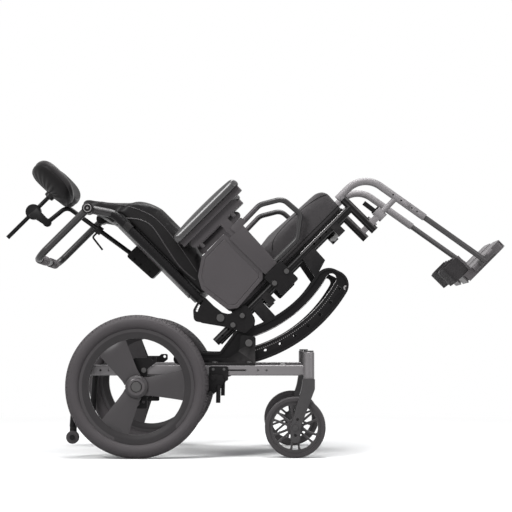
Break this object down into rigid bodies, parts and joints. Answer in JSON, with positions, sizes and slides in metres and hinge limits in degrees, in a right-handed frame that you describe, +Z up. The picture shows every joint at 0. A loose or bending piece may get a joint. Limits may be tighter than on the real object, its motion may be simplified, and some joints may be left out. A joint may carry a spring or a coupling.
{
  "type": "tilt in space wheelchair",
  "caption": "Attendant wheelchair whose whole seat rolls back on curved slotted rockers, with reclining back, headrest, lift-out arms and swing-away legrests.",
  "frame": {"origin": "on the floor, under the middle of the chair's length and width", "axes": "+X to the front of the chair, +Y to the sitter's left, +Z up"},
  "size_m": [1.5251, 0.6446, 0.8914],
  "materials": {
    "base_paint": "metallic grey powder coat",
    "black_metal": "satin black powder coat",
    "silver_metal": "satin silver grey",
    "bolt_steel": "zinc plated",
    "roller_plastic": "moulded nylon",
    "tyre_rubber": "solid dark rubber",
    "wheel_plastic": "glass filled black nylon",
    "guard_plastic": "fine grained warm dark grey",
    "shell_plastic": "moulded black",
    "grip_foam": "closed cell foam",
    "cover_fabric": "black stretch cover",
    "pad_vinyl": "black moulded vinyl skin",
    "strap_fabric": "black webbing"
  },
  "bodies": {
    "base": {"base_rail_right": "base_paint", "base_rail_left": "base_paint", "cross_tubes": "base_paint", "axle_plates": "black_metal", "roller_brackets": "black_metal", "wheel_lock_mounts": "black_metal", "anti_tip_arms": "black_metal", "base_fasteners": "bolt_steel"},
    "front_rollers": {"front_rollers": "roller_plastic"},
    "rear_rollers": {"rear_rollers": "roller_plastic"},
    "seat": {"rocker_right": "black_metal", "rocker_left": "black_metal", "seat_rails": "black_metal", "seat_cross_members": "black_metal", "seat_pan": "black_metal", "seat_cushion": "cover_fabric", "hinge_plates": "black_metal", "arm_receivers": "black_metal", "seat_fasteners": "bolt_steel"},
    "back": {"back_canes": "black_metal", "back_shell": "shell_plastic", "back_cushion": "cover_fabric", "headrest_receiver": "black_metal"},
    "push_handle": {"push_handle": "black_metal", "push_grips": "grip_foam"},
    "headrest_post": {"headrest_post": "black_metal"},
    "headrest_arm": {"headrest_arm": "black_metal"},
    "headrest_pad": {"headrest_pad": "cover_fabric"},
    "rear_wheel_right": {"rear_wheel_right": "wheel_plastic", "rear_tyre_right": "tyre_rubber"},
    "caster_fork_right": {"caster_fork_right": "base_paint"},
    "caster_wheel_right": {"caster_wheel_right": "wheel_plastic", "caster_tyre_right": "tyre_rubber"},
    "anti_tip_wheel_right": {"anti_tip_wheel_right": "tyre_rubber"},
    "wheel_lock_lever_right": {"wheel_lock_lever_right": "black_metal"},
    "arm_post_right": {"arm_post_right": "black_metal", "side_guard_right": "guard_plastic"},
    "arm_upper_right": {"arm_upper_right": "black_metal", "arm_pad_right": "pad_vinyl"},
    "hanger_right": {"hanger_right": "silver_metal"},
    "latch_lever_right": {"latch_lever_right": "black_metal"},
    "leg_tube_right": {"leg_tube_right": "silver_metal"},
    "footplate_right": {"footplate_right": "wheel_plastic", "heel_loop_right": "strap_fabric"},
    "rear_wheel_left": {"rear_wheel_left": "wheel_plastic", "rear_tyre_left": "tyre_rubber"},
    "caster_fork_left": {"caster_fork_left": "base_paint"},
    "caster_wheel_left": {"caster_wheel_left": "wheel_plastic", "caster_tyre_left": "tyre_rubber"},
    "anti_tip_wheel_left": {"anti_tip_wheel_left": "tyre_rubber"},
    "wheel_lock_lever_left": {"wheel_lock_lever_left": "black_metal"},
    "arm_post_left": {"arm_post_left": "black_metal", "side_guard_left": "guard_plastic"},
    "arm_upper_left": {"arm_upper_left": "black_metal", "arm_pad_left": "pad_vinyl"},
    "hanger_left": {"hanger_left": "silver_metal"},
    "latch_lever_left": {"latch_lever_left": "black_metal"},
    "leg_tube_left": {"leg_tube_left": "silver_metal"},
    "footplate_left": {"footplate_left": "wheel_plastic", "heel_loop_left": "strap_fabric"}
  },
  "joints": [
    {"name": "tilt", "type": "hinge", "parent": "base", "child": "seat", "pos_m": [-0.112, 0, 0.723], "axis": [0, 1, 0], "range_deg": [0, 45]},
    {"name": "front_roller_spin", "type": "hinge", "parent": "base", "child": "front_rollers", "pos_m": [-0.00539, 0, 0.33332], "axis": [0, 1, 0], "range_deg": [-1310, 10]},
    {"name": "rear_roller_spin", "type": "hinge", "parent": "base", "child": "rear_rollers", "pos_m": [-0.1954, 0, 0.25], "axis": [0, 1, 0], "range_deg": [-1310, 10]},
    {"name": "back_recline", "type": "hinge", "parent": "seat", "child": "back", "pos_m": [-0.08937, 0, 0.40763], "axis": [0, -1, 0], "range_deg": [0, 30]},
    {"name": "push_handle_pivot", "type": "hinge", "parent": "back", "child": "push_handle", "pos_m": [-0.48323, 0, 0.73219], "axis": [0, 1, 0], "range_deg": [-50, 20]},
    {"name": "headrest_height", "type": "slide", "parent": "back", "child": "headrest_post", "axis": [-0.8075, 0, 0.5898], "range_m": [-0.02, 0.05]},
    {"name": "headrest_arm_swing", "type": "hinge", "parent": "headrest_post", "child": "headrest_arm", "pos_m": [-0.63384, 0, 0.70603], "axis": [0, 1, 0], "range_deg": [-15, 6]},
    {"name": "headrest_nod", "type": "hinge", "parent": "headrest_arm", "child": "headrest_pad", "pos_m": [-0.62706, 0, 0.78834], "axis": [0, 1, 0], "range_deg": [-20, 6]},
    {"name": "rear_wheel_spin_right", "type": "hinge", "parent": "base", "child": "rear_wheel_right", "pos_m": [-0.329, -0.3, 0.2075], "axis": [0, 1, 0], "continuous": true},
    {"name": "caster_swivel_right", "type": "hinge", "parent": "base", "child": "caster_fork_right", "pos_m": [0.17, -0.266, 0.23], "axis": [0, 0, 1], "continuous": true},
    {"name": "caster_spin_right", "type": "hinge", "parent": "caster_fork_right", "child": "caster_wheel_right", "pos_m": [0.13, -0.266, 0.0885], "axis": [0, 1, 0], "continuous": true},
    {"name": "anti_tip_spin_right", "type": "hinge", "parent": "base", "child": "anti_tip_wheel_right", "pos_m": [-0.519, -0.254, 0.059], "axis": [0, 1, 0], "continuous": true},
    {"name": "wheel_lock_right", "type": "hinge", "parent": "base", "child": "wheel_lock_lever_right", "pos_m": [-0.10902, -0.272, 0.2325], "axis": [0, -1, 0], "range_deg": [0, 30]},
    {"name": "arm_lift_out_right", "type": "slide", "parent": "seat", "child": "arm_post_right", "axis": [-0.7071, 0, 0.7071], "range_m": [0, 0.055]},
    {"name": "arm_height_right", "type": "slide", "parent": "arm_post_right", "child": "arm_upper_right", "axis": [-0.7071, 0, 0.7071], "range_m": [-0.012, 0.06]},
    {"name": "hanger_swing_right", "type": "hinge", "parent": "seat", "child": "hanger_right", "pos_m": [0.26736, -0.19, 0.77002], "axis": [-0.7071, 0, 0.7071], "range_deg": [-90, 0]},
    {"name": "latch_release_right", "type": "hinge", "parent": "hanger_right", "child": "latch_lever_right", "pos_m": [0.37307, -0.19, 0.72724], "axis": [0.7071, 0, -0.7071], "range_deg": [0, 25], "stiffness_Nm_per_rad": 0.6, "springref_deg": -5.73},
    {"name": "leg_length_right", "type": "slide", "parent": "hanger_right", "child": "leg_tube_right", "axis": [0.814, 0, -0.5808], "range_m": [-0.05, 0.02]},
    {"name": "footplate_flip_right", "type": "hinge", "parent": "leg_tube_right", "child": "footplate_right", "pos_m": [0.69479, -0.1705, 0.58085], "axis": [0.7071, 0, 0.7071], "range_deg": [0, 90]},
    {"name": "rear_wheel_spin_left", "type": "hinge", "parent": "base", "child": "rear_wheel_left", "pos_m": [-0.329, 0.3, 0.2075], "axis": [0, 1, 0], "continuous": true},
    {"name": "caster_swivel_left", "type": "hinge", "parent": "base", "child": "caster_fork_left", "pos_m": [0.17, 0.266, 0.23], "axis": [0, 0, 1], "continuous": true},
    {"name": "caster_spin_left", "type": "hinge", "parent": "caster_fork_left", "child": "caster_wheel_left", "pos_m": [0.13, 0.266, 0.0885], "axis": [0, 1, 0], "continuous": true},
    {"name": "anti_tip_spin_left", "type": "hinge", "parent": "base", "child": "anti_tip_wheel_left", "pos_m": [-0.519, 0.254, 0.059], "axis": [0, 1, 0], "continuous": true},
    {"name": "wheel_lock_left", "type": "hinge", "parent": "base", "child": "wheel_lock_lever_left", "pos_m": [-0.10902, 0.272, 0.2325], "axis": [0, -1, 0], "range_deg": [0, 30]},
    {"name": "arm_lift_out_left", "type": "slide", "parent": "seat", "child": "arm_post_left", "axis": [-0.7071, 0, 0.7071], "range_m": [0, 0.055]},
    {"name": "arm_height_left", "type": "slide", "parent": "arm_post_left", "child": "arm_upper_left", "axis": [-0.7071, 0, 0.7071], "range_m": [-0.012, 0.06]},
    {"name": "hanger_swing_left", "type": "hinge", "parent": "seat", "child": "hanger_left", "pos_m": [0.26736, 0.19, 0.77002], "axis": [0.7071, 0, -0.7071], "range_deg": [-90, 0]},
    {"name": "latch_release_left", "type": "hinge", "parent": "hanger_left", "child": "latch_lever_left", "pos_m": [0.37307, 0.19, 0.72724], "axis": [-0.7071, 0, 0.7071], "range_deg": [0, 25], "stiffness_Nm_per_rad": 0.6, "springref_deg": -5.73},
    {"name": "leg_length_left", "type": "slide", "parent": "hanger_left", "child": "leg_tube_left", "axis": [0.814, 0, -0.5808], "range_m": [-0.05, 0.02]},
    {"name": "footplate_flip_left", "type": "hinge", "parent": "leg_tube_left", "child": "footplate_left", "pos_m": [0.69479, 0.1705, 0.58085], "axis": [-0.7071, 0, -0.7071], "range_deg": [0, 90]}
  ],
  "couplings": [
    {"joint": "front_roller_spin", "follows": "tilt", "ratio": -28.467},
    {"joint": "rear_roller_spin", "follows": "tilt", "ratio": -29}
  ]
}
